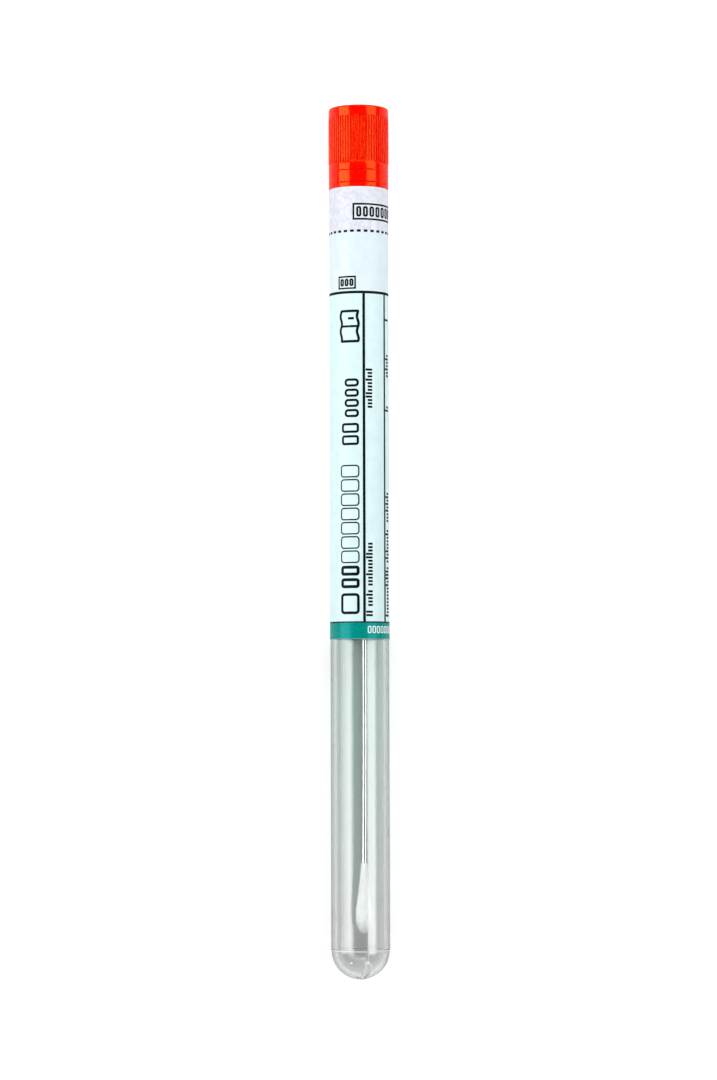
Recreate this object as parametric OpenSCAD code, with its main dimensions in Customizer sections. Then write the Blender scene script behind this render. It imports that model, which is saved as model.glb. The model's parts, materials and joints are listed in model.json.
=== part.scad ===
// Specimen swab tube: a round-bottomed clear tube that holds a wire swab on a push-in cap,
// closed by a label that runs over the joint and tears there along a perforation.
// Millimetres. Every piece is drawn standing, with its round end at z = 0 and its front
// towards -Y, and lay_down() puts it on its back on the table, with the cap towards +Y.

/* [Tube] */
// Length of the tube, from its round end to its mouth
tube_len = 150; // [146:1:180]
// Outer diameter of the tube
tube_d = 11.8; // [11:0.1:14]
// Thickness of the tube's wall
tube_wall = 1.1; // [0.8:0.05:1.3]
// How far the round end is drawn in from the tube's side
end_step = 0.1; // [0.05:0.05:0.2]
// Distance of the mould's parting line below the top of the round end
parting_drop = 0.3; // [0.1:0.05:0.6]
// Bevel on both edges of the mouth
mouth_bevel = 0.2; // [0.1:0.05:0.3]
// Diameter of the gate nub on the round end
gate_d = 0.8; // [0.5:0.1:1.2]
// Diameter of the dimple around the gate nub
dimple_d = 2; // [1.6:0.1:3]
// Depth of that dimple
dimple_depth = 0.2; // [0.15:0.05:0.4]

/* [Cap] */
// Length of the cap's skirt, the part that the label's seal is stuck to
skirt_len = 9.1; // [8:0.1:12]
// Length of the cap's grip, above the skirt
grip_len = 16.5; // [15:0.5:20]
// How far the grip stands out from the skirt
grip_over = 0.2; // [0.2:0.05:0.5]
// How far the smooth cuff under the ribs is set back from the grip
cuff_back = 0.07; // [0.05:0.01:0.1]
// Height of the smooth collar above the ribs
collar_len = 2.1; // [1.5:0.1:4]
// Rounding of the collar's upper edge
collar_round = 0.35; // [0.2:0.05:0.5]
// Number of ribs around the grip
rib_n = 64; // [48:4:72]
// Length of the ribs
rib_len = 9.8; // [7:0.1:10]
// Height of a rib above the grooves beside it
rib_h = 0.22; // [0.15:0.01:0.3]
// Share of the rib pitch that a rib's crest takes
rib_crest = 0.42; // [0.3:0.02:0.5]
// Height of the lower fine line above the cuff's lower edge
line_low = 0.9; // [0.6:0.1:1.4]
// Distance between the two fine lines around the cuff
line_step = 2.5; // [1:0.1:2.6]
// Width of a fine line
line_w = 0.2; // [0.1:0.05:0.3]
// Depth of a fine line
line_depth = 0.08; // [0.05:0.01:0.12]
// Thickness of the cap's top
top_t = 2.2; // [1.5:0.1:3]
// Depth of the dished centre of the top
dish_depth = 0.5; // [0.2:0.1:1]
// Width of the flat rim around the dish
rim_w = 1.1; // [0.8:0.1:2]

/* [Plug] */
// How deep the cap's plug reaches into the tube
plug_len = 9; // [6:0.5:12]
// Thickness of the plug's wall
plug_wall = 0.9; // [0.7:0.05:1.2]
// Clearance between the plug's wall and the tube's bore
plug_free = 0.25; // [0.15:0.05:0.35]
// Running clearance between a sealing ring and the tube's bore
ring_free = 0.04; // [0.02:0.01:0.08]
// Width of a sealing ring's crest
ring_w = 0.5; // [0.3:0.1:0.8]
// Distance of the first sealing ring under the mouth
ring_drop = 2; // [1.5:0.1:2.5]
// Distance from one sealing ring to the next
ring_step = 3; // [2:0.1:3]
// Gap between the cap's shoulder and the tube's rim
seat_gap = 0.05; // [0.02:0.01:0.1]
// Outer diameter of the boss that grips the shaft
boss_d = 3; // [2.6:0.1:3.6]
// Depth of the boss's socket
socket_len = 18.3; // [10:0.1:22]
// Clearance around the shaft in its socket
socket_free = 0.02; // [0.01:0.01:0.05]

/* [Swab] */
// Diameter of the aluminium shaft
shaft_d = 1; // [0.8:0.05:1.2]
// Free space between the bud and the bottom of the tube's bore
tip_free = 8.2; // [6:0.1:12]
// Radius of the first bend, where the shaft leaves its socket
bend_r = 450; // [400:10:600]
// Angle of that first bend
bend_a = 1.29; // [0.8:0.01:1.4]
// Radius of the long bow that brings the shaft back
bow_r = 3280; // [3000:20:4000]
// Diameter of the fibre bud
bud_d = 3.3; // [2.6:0.1:4]
// Length of the fibre bud
bud_len = 13.8; // [11:0.1:16]
// Thickness of the fibres around the shaft at the bud's neck
bud_neck = 0.2; // [0.15:0.05:0.4]
// How far the shaft's end stays short of the bud's tip
bud_cover = 2; // [1.6:0.1:3]

/* [Label] */
// Height of the label's lower edge above the round end
label_from = 68; // [60:0.5:69]
// Thickness of the label
label_t = 0.08; // [0.05:0.01:0.08]
// Width of the strip where the label's ends overlap
lap_w = 2.6; // [2:0.1:4]
// Where the overlap lies, as an angle from the front towards the right
lap_at = 145; // [130:1:155]
// Distance between the label and the grip's lower edge
label_free = 0.1; // [0.05:0.05:0.4]
// Width of the tear at the perforation
tear_w = 0.1; // [0.1:0.02:0.2]
// Number of dashes in the printed tear line
dash_n = 27; // [20:1:36]
// Length of one dash
dash_l = 0.77; // [0.4:0.01:0.85]
// Full width of the dashes, half above the tear and half below it
dash_w = 0.38; // [0.26:0.02:0.5]
// Thickness of the print
ink_t = 0.02; // [0.01:0.01:0.02]

/* [Print] */
// White margin under the colour band
margin_h = 0.2; // [0.1:0.1:1]
// Height of the colour band at the label's lower end
band_h = 3.2; // [2.4:0.1:4]
// Width of the bold lines
bold_w = 0.34; // [0.2:0.02:0.5]
// Width of the fine lines
fine_w = 0.2; // [0.12:0.02:0.3]
// Distance of the bold ring line under the tube's mouth
head_drop = 12.1; // [11.6:0.1:13]
// How far the first column's bold line lies to the right of the front
column_x = 0.95; // [0.6:0.05:1.4]
// Width of a column
column_w = 5.08; // [4.8:0.02:6]
// Number of lines between columns, the bold one included
column_n = 3; // [2:1:3]
// Height of a line of small words
word_h = 1.2; // [0.8:0.1:1.6]
// Distance from a column line to the words beside it
word_gap = 0.5; // [0.4:0.05:0.8]
// Width of the print in the wide panel
panel_w = 4; // [3:0.1:4.6]
// Distance from the bold line to that print
panel_gap = 0.95; // [0.4:0.05:1.4]
// Number of writing boxes in the panel
write_n = 7; // [3:1:8]
// Length of a writing box
write_l = 2.5; // [1.5:0.1:3]
// Distance from one writing box to the next
write_step = 2.86; // [2:0.02:4]
// Length of the box on the seal, around the tube
sign_w = 10.35; // [6:0.05:12]
// Height of that box
sign_h = 3.4; // [2:0.1:5]
// Height of the box above the tear
sign_up = 2.2; // [1.2:0.1:3]
// How far the box starts to the left of the front
sign_left = 1.25; // [0:0.05:6]
// Number of blocks in the box
sign_n = 7; // [3:1:8]

/* [Hidden] */
$fn = 96;

over = 1;                                  // how far a cutter runs past what it cuts
hair = 0.01;                               // lift of the print off the face under it

tube_r = tube_d / 2;
bore_r = tube_r - tube_wall;
dome_r = tube_r - end_step;
parting_z = dome_r - parting_drop;
bore_z = tube_wall + bore_r;               // centre of the bore's round bottom

skirt_r = tube_r;
grip_r = skirt_r + grip_over;
cuff_r = grip_r - cuff_back;
root_r = grip_r - rib_h;
skirt_z = tube_len + seat_gap;
grip_z = tube_len + skirt_len;
cap_z = grip_z + grip_len;                 // the cap's top, and the object's full length
collar_z = cap_z - collar_len;
rib_z = collar_z - rib_len;
rib_fade = 0.6;                            // height over which the ribs run out
rib_pitch = 360 / rib_n;
rib_flank = 0.28;                          // share of the pitch that each flank takes

plug_r = bore_r - plug_free;
ring_r = bore_r - ring_free;
core_r = plug_r - plug_wall;
plug_z = tube_len - plug_len;
core_top_z = cap_z - top_t;
boss_bevel = 0.3;
plug_bevel = 0.5;

shaft_r = shaft_d / 2;
socket_r = shaft_r + socket_free;
socket_z = plug_z + socket_len;
shaft_end_gap = 0.05;                      // air above the shaft's end in its socket
bud_r = bud_d / 2;
neck_r = shaft_r + bud_neck;
bud_tip_z = tube_wall + tip_free;
bend_len = bend_r * bend_a * PI / 180;
bow_len = plug_z - bud_tip_z - bud_len - bend_len;
bow_a = bow_len / bow_r * 180 / PI;
shaft_sides = 24;
bend_steps = 4;
bow_steps = 16;
socket_mouth = [0, plug_z, 0];
bend_end = turned(socket_mouth, bend_r, bend_a);
neck = turned(bend_end, -bow_r, -bow_a);   // where the shaft goes into the bud

label_r = tube_r + label_t;
lap_r = label_r + label_t;
lap_a = lap_w / label_r * 180 / PI;        // angle that the overlap takes
label_top = tube_len - tear_w / 2;
seal_z = tube_len + tear_w / 2;
seal_top = grip_z - label_free;
band_z = label_from + margin_h;
band_top = band_z + band_h;
head_z = tube_len - head_drop;             // middle of the bold ring line
lap_start = lap_at - lap_a / 2;            // angle from the front to the overlap's near edge

function turn(x) = x / label_r * 180 / PI; // angle that a distance around the label takes

// ---- placing ----

module lay_down() {
    translate([0, -cap_z / 2, grip_r]) rotate([-90, 0, 0]) children();
}

// A place on the shaft's way down is [x, z, heading], and the heading is the angle by which
// the shaft leans from straight down towards +X. turned() is the place after an arc.
function turned(place, curve_r, a) = let (h = place[2]) [
    place[0] + curve_r * (cos(h) - cos(h + a)),
    place[1] - curve_r * (sin(h + a) - sin(h)),
    h + a
];

function straight_on(place, length) =
    [place[0] + length * sin(place[2]), place[1] - length * cos(place[2]), place[2]];

// ---- tube ----

module tube_outside() {
    translate([0, 0, dome_r]) sphere(dome_r);
    rotate_extrude() polygon([
        [0, parting_z], [tube_r - end_step, parting_z], [tube_r, parting_z + end_step],
        [tube_r, tube_len - mouth_bevel], [tube_r - mouth_bevel, tube_len], [0, tube_len]
    ]);
}

module tube_bore() {
    translate([0, 0, bore_z]) sphere(bore_r);
    translate([0, 0, bore_z]) cylinder(r = bore_r, h = tube_len - bore_z + over);
    translate([0, 0, tube_len - mouth_bevel])
        cylinder(r1 = bore_r, r2 = bore_r + mouth_bevel + over, h = mouth_bevel + over);
}

module tube() {
    ball_r = (pow(dimple_d / 2, 2) + pow(dimple_depth, 2)) / (2 * dimple_depth);
    color([0.8, 0.87, 0.84, 0.45]) {
        difference() {
            tube_outside();
            tube_bore();
            translate([0, 0, dimple_depth - ball_r]) sphere(ball_r);
        }
        cylinder(d = gate_d, h = tube_wall / 2);
    }
}

// ---- cap ----

module ribbed_grip() {
    half_crest = rib_pitch * rib_crest / 2;
    half_foot = half_crest + rib_pitch * rib_flank;
    intersection() {
        translate([0, 0, rib_z]) linear_extrude(rib_len) polygon([
            for (i = [0 : rib_n - 1], side = [[-half_foot, root_r], [-half_crest, grip_r + hair],
                                             [half_crest, grip_r + hair], [half_foot, root_r]])
                let (a = i * rib_pitch + side[0]) side[1] * [cos(a), sin(a)]
        ]);
        rotate_extrude() polygon([
            [0, rib_z], [root_r, rib_z], [grip_r, rib_z + rib_fade], [grip_r, collar_z], [0, collar_z]
        ]);
    }
}

module cap_outside() {
    rotate_extrude() polygon([
        [0, skirt_z], [skirt_r - mouth_bevel, skirt_z], [skirt_r, skirt_z + mouth_bevel],
        [skirt_r, grip_z], [cuff_r, grip_z], [cuff_r, rib_z], [root_r, rib_z + rib_fade],
        [root_r, collar_z], [0, collar_z]
    ]);
    translate([0, 0, collar_z]) rotate_extrude() {
        square([grip_r - collar_round, collar_len]);
        square([grip_r, collar_len - collar_round]);
        translate([grip_r - collar_round, collar_len - collar_round]) circle(collar_round);
    }
}

module plug_outside() {
    rotate_extrude() polygon([
        [0, plug_z], [plug_r - plug_bevel, plug_z], [plug_r, plug_z + plug_bevel],
        for (i = [1, 0]) let (z = tube_len - ring_drop - i * ring_step, flank = plug_free)
            each [[plug_r, z - ring_w / 2 - flank], [ring_r, z - ring_w / 2],
                  [ring_r, z + ring_w / 2], [plug_r, z + ring_w / 2 + flank]],
        [plug_r, skirt_z], [0, skirt_z]
    ]);
}

module cap_core() {
    rotate_extrude() polygon([
        [boss_d / 2 - boss_bevel, plug_z - over], [core_r, plug_z - over], [core_r, core_top_z],
        [boss_d / 2, core_top_z], [boss_d / 2, plug_z + boss_bevel],
        [boss_d / 2 - boss_bevel, plug_z]
    ]);
    translate([0, 0, plug_z - over]) cylinder(r = socket_r, h = socket_len + over);
}

module fine_line(height) {
    translate([0, 0, grip_z + height]) rotate_extrude() polygon([
        [cuff_r - line_depth, 0], [cuff_r + over, -line_w / 2 - over], [cuff_r + over, line_w / 2 + over]
    ]);
}

module dish() {
    dish_r = grip_r - rim_w;
    translate([0, 0, cap_z - dish_depth])
        cylinder(r1 = dish_r - dish_depth, r2 = dish_r + over, h = dish_depth + over);
}

module cap() {
    color([0.97, 0.13, 0.03]) difference() {
        union() {
            cap_outside();
            ribbed_grip();
            plug_outside();
        }
        cap_core();
        dish();
        fine_line(line_low);
        fine_line(line_low + line_step);
    }
}

// ---- swab ----

// Children go to the place where the bow ends and the bud begins, pointing along the shaft.
module at_bud() {
    translate([neck[0], 0, neck[1]]) rotate([0, -neck[2], 0]) children();
}

// A ring of points around the shaft at a place on its way.
function shaft_ring(place) = [
    for (i = [0 : shaft_sides - 1]) let (b = i * 360 / shaft_sides)
        [place[0] + shaft_r * cos(b) * cos(place[2]), shaft_r * sin(b),
         place[1] + shaft_r * cos(b) * sin(place[2])]
];

module shaft() {
    n = shaft_sides;
    places = [
        straight_on(socket_mouth, shaft_end_gap - socket_len),
        for (i = [0 : bend_steps]) turned(socket_mouth, bend_r, bend_a * i / bend_steps),
        for (i = [1 : bow_steps]) turned(bend_end, -bow_r, -bow_a * i / bow_steps),
        straight_on(neck, bud_len - bud_cover)
    ];
    last = len(places) - 1;
    color([0.8, 0.8, 0.8]) polyhedron(
        [for (place = places) each shaft_ring(place)],
        [
            [for (i = [0 : n - 1]) i],
            for (j = [0 : last - 1], i = [0 : n - 1]) let (k = (i + 1) % n)
                [j * n + i, (j + 1) * n + i, (j + 1) * n + k, j * n + k],
            [for (i = [n - 1 : -1 : 0]) last * n + i]
        ]);
}

// The bud's radius at a share t of its length from the tip: a round nose, a belly and a long taper.
function bud_radius(t) =
    let (belly = 0.24)
    t < belly
        ? bud_r * sqrt(1 - pow(1 - t / belly, 2))
        : neck_r + (bud_r - neck_r) * (1 + cos(180 * pow((t - belly) / (1 - belly), 0.9))) / 2;

module bud() {
    steps = 28;
    color([0.97, 0.98, 0.97]) at_bud() difference() {
        translate([0, 0, -bud_len]) rotate_extrude() polygon([
            [0, 0],
            for (i = [1 : steps]) let (t = pow(i / steps, 1.5)) [bud_radius(t), t * bud_len],
            [0, bud_len]
        ]);
        translate([0, 0, -bud_len + bud_cover - hair]) cylinder(r = socket_r, h = bud_len);
    }
}

// ---- label ----

// A patch of a sleeve: from x0 to x1 around it, from z0 to z1 up it, both in millimetres.
// x is measured from the front towards the right.
module patch(x0, x1, z0, z1, r = label_r + hair, t = ink_t) {
    rotate([0, 0, turn(x0) - 90]) rotate_extrude(angle = turn(x1 - x0))
        translate([r, z0]) square([t, z1 - z0]);
}

// A closed sleeve of label with its ends lapped.
module wrap(z0, z1) {
    rotate_extrude() translate([tube_r, z0]) square([label_t, z1 - z0]);
    rotate([0, 0, lap_start - 90]) rotate_extrude(angle = lap_a)
        translate([label_r - label_t / 2, z0]) square([1.5 * label_t, z1 - z0]);
}

// A printed ring: one stretch around the sleeve and one over the lap.
module ring_print(z0, z1) {
    reach = label_r * (360 - lap_a) * PI / 180 - 2 * hair;
    end_x = label_r * lap_start * PI / 180 - hair;
    patch(end_x - reach, end_x, z0, z1);
    rotate([0, 0, lap_start - 90]) rotate_extrude(angle = lap_a)
        translate([lap_r + hair, z0]) square([ink_t, z1 - z0]);
}

module box_print(x0, x1, z0, z1, w) {
    difference() {
        patch(x0, x1, z0, z1);
        patch(x0 + w, x1 - w, z0 + w, z1 - w, label_r - over, 3 * over);
    }
}

// A row of plain blocks, where a word stands: across the tube, or running up it.
module blocks_across(x, z, n, w, h, step) {
    for (i = [0 : n - 1]) patch(x + i * step, x + i * step + w, z, z + h);
}

module blocks_up(x, z, n, w, h, step) {
    for (i = [0 : n - 1]) patch(x, x + h, z + i * step, z + i * step + w);
}

// Words beside one of the column lines, as one bar up the tube.
module words(column, z, length) {
    blocks_up(column_x + column * column_w + word_gap, z, 1, length, word_h, length);
}

module dashes(z0, z1) {
    dash_a = turn(dash_l);
    for (i = [0 : dash_n - 1]) let (a = i * 360 / dash_n)
        if (abs(a - lap_at) > lap_a / 2 + dash_a)
            rotate([0, 0, a - dash_a / 2 - 90]) rotate_extrude(angle = dash_a)
                translate([label_r + hair, z0]) square([ink_t, z1 - z0]);
}

module label() {
    color([0.9, 0.97, 0.98]) wrap(label_from, label_top);
}

module label_seal() {
    color([0.9, 0.91, 0.95]) wrap(seal_z, seal_top);
}

module color_band() {
    color([0, 0.58, 0.53]) ring_print(band_z, band_top);
}

module label_print() {
    panel_x = column_x - panel_gap - panel_w;
    mark_h = panel_w - 2 * word_gap;       // height of the marks in the panel, across the tube
    tag_h = 2.5;
    tag_z = head_z + 0.5;
    color([0.05, 0.08, 0.09]) {
        dashes(label_top - dash_w / 2 + tear_w / 2, label_top);
        ring_print(head_z - bold_w / 2, head_z + bold_w / 2);
        ring_print(band_top + hair, band_top + fine_w);
        // lines between the columns, the first one bold, from one ring line to the other
        for (i = [0 : column_n - 1]) let (x = column_x + i * column_w, w = i == 0 ? bold_w : fine_w)
            patch(x - w / 2, x + w / 2, band_top + fine_w + hair, head_z - bold_w / 2 - hair);
        // small box over the ring line
        box_print(panel_x - word_gap, panel_x - word_gap + panel_w, tag_z, tag_z + tag_h, fine_w);
        blocks_across(panel_x + 0.1, tag_z + 0.6, 3, 0.8, tag_h - word_h, 1.05);
        // double box, rows of blocks, writing boxes and a tick box
        box_print(panel_x, panel_x + panel_w, head_z - 10.3, head_z - 4, fine_w);
        patch(panel_x + 0.3, panel_x + panel_w - 0.3, head_z - 7.3, head_z - 7);
        blocks_up(panel_x + 1, head_z - 25.5, 4, 1.5, mark_h, 2.05);
        blocks_up(panel_x + 0.2, head_z - 31.1, 2, 1.8, mark_h + 0.6, 2.4);
        for (i = [0 : write_n - 1]) let (z = band_top + 11.9 + i * write_step)
            box_print(panel_x, panel_x + panel_w, z, z + write_l, fine_w);
        blocks_up(panel_x, band_top + 6.9, 2, 1.9, panel_w, 2.5);
        box_print(panel_x, panel_x + panel_w, band_top + 1.7, band_top + 1.7 + panel_w, bold_w);
        // words beside the column lines
        words(0, head_z - 23.4, 8.3);
        words(0, band_top + 1.5, 14.9);
        words(1, head_z - 5.6, 1.6);
        words(1, head_z - 16.9, 5);
        words(1, head_z - 23.9, 1.6);
        words(1, band_top + 1.5, 24.9);
    }
}

module band_print() {
    color("white") for (i = [0 : 7]) let (x = 1.66 + i)
        rotate([0, 0, turn(x) - 90]) rotate_extrude(angle = turn(0.75))
            translate([label_r + ink_t + 2 * hair, band_z + 1]) square([ink_t / 2, 1.4]);
}

module seal_print() {
    z = tube_len + sign_up;
    space = sign_h / 4.5;                  // between the box and its blocks
    step = (sign_w - space) / sign_n;
    color([0.05, 0.08, 0.09]) {
        dashes(seal_z, seal_z + dash_w / 2 - tear_w / 2);
        box_print(-sign_left, sign_w - sign_left, z, z + sign_h, bold_w);
        blocks_across(space - sign_left, z + space, sign_n, step - bold_w, sign_h - 2 * space, step);
    }
}

lay_down() tube();
lay_down() cap();
lay_down() shaft();
lay_down() bud();
lay_down() label();
lay_down() label_seal();
lay_down() color_band();
lay_down() label_print();
lay_down() band_print();
lay_down() seal_print();
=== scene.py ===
import json
import random
from math import asin, ceil, cos, degrees, pi, radians, sin, sqrt

import bpy
from mathutils import Matrix, Vector

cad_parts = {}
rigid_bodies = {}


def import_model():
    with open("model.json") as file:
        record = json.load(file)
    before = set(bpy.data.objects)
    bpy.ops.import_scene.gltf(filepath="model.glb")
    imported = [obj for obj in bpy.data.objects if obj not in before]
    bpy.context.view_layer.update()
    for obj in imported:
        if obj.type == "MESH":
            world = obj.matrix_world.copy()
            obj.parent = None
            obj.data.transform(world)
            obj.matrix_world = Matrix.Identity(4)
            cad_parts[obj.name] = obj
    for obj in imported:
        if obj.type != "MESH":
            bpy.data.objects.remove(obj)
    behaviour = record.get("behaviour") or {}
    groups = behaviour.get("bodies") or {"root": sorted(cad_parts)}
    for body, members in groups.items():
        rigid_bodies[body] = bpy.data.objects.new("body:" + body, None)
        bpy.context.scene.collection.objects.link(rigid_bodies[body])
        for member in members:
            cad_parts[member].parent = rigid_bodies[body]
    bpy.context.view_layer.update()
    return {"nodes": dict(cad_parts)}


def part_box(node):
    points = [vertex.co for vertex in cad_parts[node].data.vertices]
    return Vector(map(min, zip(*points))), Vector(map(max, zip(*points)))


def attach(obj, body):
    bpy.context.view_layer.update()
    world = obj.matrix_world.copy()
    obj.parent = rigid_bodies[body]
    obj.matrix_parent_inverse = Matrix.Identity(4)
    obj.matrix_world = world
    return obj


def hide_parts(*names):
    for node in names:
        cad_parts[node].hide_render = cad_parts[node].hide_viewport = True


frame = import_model()

# The tube lies along Y with its cap towards +Y and the front of its label up.
# Sizes below are in millimetres and heights run up the axis from the round end;
# place() turns them into the frame's metres.

MM = 0.001
tube_low, tube_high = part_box("tube")
cap_low, cap_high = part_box("cap")
AXIS_Z = (tube_low.z + tube_high.z) / 2
END_Y = tube_low.y
TUBE_LEN = (tube_high.y - tube_low.y) / MM
CAP_TOP = (cap_high.y - tube_low.y) / MM
TUBE_R = (tube_high.x - tube_low.x) / 2 / MM
GRIP_R = (cap_high.x - cap_low.x) / 2 / MM

WALL = 1.1  # of the tube
BORE_R = TUBE_R - WALL
DOME_R = TUBE_R - 0.1  # of the round end
PARTING = 5.75  # height of the mould's parting line
MOUTH_ROUND = 0.2  # at both edges of the tube's mouth
LABEL_T = 0.08  # thickness of the film
LABEL_R = TUBE_R + LABEL_T
LABEL_FROM = 68.0
SEAL_TO = 159.0
TEAR_GAP = 0.05  # from the mouth's height to the torn edge on either side
LAP_FROM, LAP_TO = 132.6, 157.4  # where the film lies double, in degrees from the front
CLIMB = 8  # degrees over which the end of the film climbs on to its start
BAND_LOW, BAND_HIGH = 68.04, 71.24
HEAD = 137.6  # the line under the label's head
GRIP_FROM = 159.1
CUFF_R = 6.03
RIB_LOW, RIB_HIGH = 163.7, 173.5
RIBS = 64
ROOT_R = 5.87  # between the ribs
DASHES = 27  # in the tear line
DASH = 0.77
AROUND = 256  # sides of a turned piece
SHAFT_SIDES = 24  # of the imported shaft


def place(radius, turn, height):
    """A point at a radius and height, turned from the front towards the right, in degrees."""
    a = radians(turn)
    return Vector((radius * sin(a) * MM, END_Y + height * MM, AXIS_Z + radius * cos(a) * MM))


def degrees_for(width):
    """The angle that a width around the label takes."""
    return degrees(width / LABEL_R)


def climbed(turn):
    """How far the film has climbed on to its own start, from 0 to 1."""
    return min(1.0, max(0.0, (turn - LAP_FROM - 360 + CLIMB) / CLIMB))


def arc(r, z, radius, start, end, steps):
    """Points of a rounding in a turned profile, from start to end degrees."""
    angles = [radians(start + (end - start) * i / steps) for i in range(steps + 1)]
    return [(r + radius * cos(a), z + radius * sin(a)) for a in angles]


def placed(name, data):
    """A new object in the scene."""
    thing = bpy.data.objects.new(name, data)
    bpy.context.scene.collection.objects.link(thing)
    return thing


def make(name, verts, faces, material=None, crease=32):
    """A new piece, smooth but for edges sharper than the crease in degrees."""
    mesh = bpy.data.meshes.new(name)
    mesh.from_pydata([tuple(v) for v in verts], [], faces)
    mesh.shade_smooth()
    mesh.set_sharp_from_angle(angle=radians(crease))
    if material:
        mesh.materials.append(material)
    return placed(name, mesh)


def rod_faces(rows, n):
    """The faces of a closed rod made of rows of n points each."""
    faces = []
    for j in range(rows - 1):
        for i in range(n):
            k = (i + 1) % n
            faces.append((j * n + i, j * n + k, (j + 1) * n + k, (j + 1) * n + i))
    return faces + [tuple(range(n))[::-1], tuple(range((rows - 1) * n, rows * n))]


def turned(name, profile, material):
    """A closed turned piece. The profile runs up its outside and down its inside, and may end on the axis."""
    verts, faces, rings = [], [], []
    for radius, height in profile:
        if radius < 1e-6:
            rings.append([len(verts)])
            verts.append(place(0, 0, height))
        else:
            rings.append(list(range(len(verts), len(verts) + AROUND)))
            verts += [place(radius, 360 * i / AROUND, height) for i in range(AROUND)]
    closed = len(rings[0]) > 1
    pairs = list(zip(rings, rings[1:])) + ([(rings[-1], rings[0])] if closed else [])
    for low, high in pairs:
        for i in range(AROUND):
            k = (i + 1) % AROUND
            if len(low) == 1:
                faces.append((low[0], high[k], high[i]))
            elif len(high) == 1:
                faces.append((low[i], low[k], high[0]))
            else:
                faces.append((low[i], low[k], high[k], high[i]))
    return make(name, verts, faces, material)


def joined(name, pieces):
    """One object out of several, with their materials kept."""
    verts, faces, slots, chosen = [], [], [], []
    for piece in pieces:
        first = len(verts)
        verts += [tuple(v.co) for v in piece.data.vertices]
        for m in piece.data.materials:
            if m not in slots:
                slots.append(m)
        for p in piece.data.polygons:
            faces.append(tuple(first + v for v in p.vertices))
            chosen.append(slots.index(piece.data.materials[p.material_index]))
        bpy.data.objects.remove(piece)
    whole = make(name, verts, faces)
    for m in slots:
        whole.data.materials.append(m)
    whole.data.polygons.foreach_set("material_index", chosen)
    return whole


# ---- node groups that several finishes share ----


class Nodes:
    """Adds and joins nodes in a tree with short calls."""

    def __init__(self, tree):
        self.tree = tree

    def add(self, kind, values=None, **settings):
        node = self.tree.nodes.new(kind)
        for key, value in settings.items():
            setattr(node, key, value)
        for key, value in (values or {}).items():
            if hasattr(value, "is_output"):
                self.tree.links.new(value, node.inputs[key])
            else:
                node.inputs[key].default_value = value
        return node

    def one(self, kind, values=None, **settings):
        """The first output of a new node."""
        return self.add(kind, values, **settings).outputs[0]

    def math(self, operation, a, b=0.0, clamp=False):
        return self.one("ShaderNodeMath", {0: a, 1: b}, operation=operation, use_clamp=clamp)

    def xyz(self, x, y, z):
        return self.one("ShaderNodeCombineXYZ", {0: x, 1: y, 2: z})

    def mix(self, share, a, b):
        return self.add("ShaderNodeMix", {0: share, 6: a, 7: b}, data_type="RGBA").outputs[2]

    def own_place(self):
        """A point's place in the piece's own space, in its three parts."""
        coords = self.add("ShaderNodeTexCoord").outputs["Object"]
        return self.add("ShaderNodeSeparateXYZ", {0: coords}).outputs

    def spread(self, value, low, high, to_low, to_high):
        values = {"Value": value, "From Min": low, "From Max": high, "To Min": to_low, "To Max": to_high}
        return self.one("ShaderNodeMapRange", values)


def shader_group(name, inputs, outputs):
    """A shader node group with named sockets: its tree, its nodes, its inputs and its output node."""
    tree = bpy.data.node_groups.new(name, "ShaderNodeTree")
    for label, kind, default in inputs:
        socket = tree.interface.new_socket(label, in_out="INPUT", socket_type=kind)
        socket.default_value = default
    for label, kind in outputs:
        tree.interface.new_socket(label, in_out="OUTPUT", socket_type=kind)
    nodes = Nodes(tree)
    ins = nodes.add("NodeGroupInput").outputs
    out = nodes.add("NodeGroupOutput")
    return tree, nodes, ins, out


FLOAT, COLOR, VECTOR = "NodeSocketFloat", "NodeSocketColor", "NodeSocketVector"


def drawn_out(n, ins, shift=0.0):
    """The piece's own space, drawn out along the tube, and the scale that gives a size in millimetres."""
    x, y, z = n.own_place()
    along = n.math("ADD", n.math("DIVIDE", y, ins["Stretch"]), shift)
    return {"Vector": n.xyz(x, along, z), "Scale": n.math("DIVIDE", 1000.0, ins["Size mm"])}


def grain_group():
    """Noise as a height and as a soft mask."""
    inputs = [("Size mm", FLOAT, 0.2), ("Stretch", FLOAT, 1.0), ("Detail", FLOAT, 3.0),
              ("Offset", FLOAT, 0.0)]
    tree, n, ins, out = shader_group("Grain", inputs, [("Height", FLOAT), ("Mask", FLOAT)])
    values = dict(drawn_out(n, ins, ins["Offset"]), Detail=ins["Detail"], Roughness=0.55)
    height = n.one("ShaderNodeTexNoise", values)
    tree.links.new(height, out.inputs["Height"])
    tree.links.new(n.spread(height, 0.42, 0.62, 0.0, 1.0), out.inputs["Mask"])
    return tree


def fleck_group():
    """Small scattered flecks, such as paper fibres or speckle in a moulding."""
    inputs = [("Size mm", FLOAT, 0.3), ("Share", FLOAT, 0.1), ("Stretch", FLOAT, 1.0)]
    tree, n, ins, out = shader_group("Flecks", inputs, [("Mask", FLOAT)])
    cells = n.add("ShaderNodeTexVoronoi", drawn_out(n, ins)).outputs
    draw = n.one("ShaderNodeSeparateColor", {0: cells["Color"]})
    chosen = n.math("LESS_THAN", draw, ins["Share"])
    soft = n.spread(cells["Distance"], 0.12, 0.42, 1.0, 0.0)
    tree.links.new(n.math("MULTIPLY", chosen, soft, clamp=True), out.inputs["Mask"])
    return tree


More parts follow.
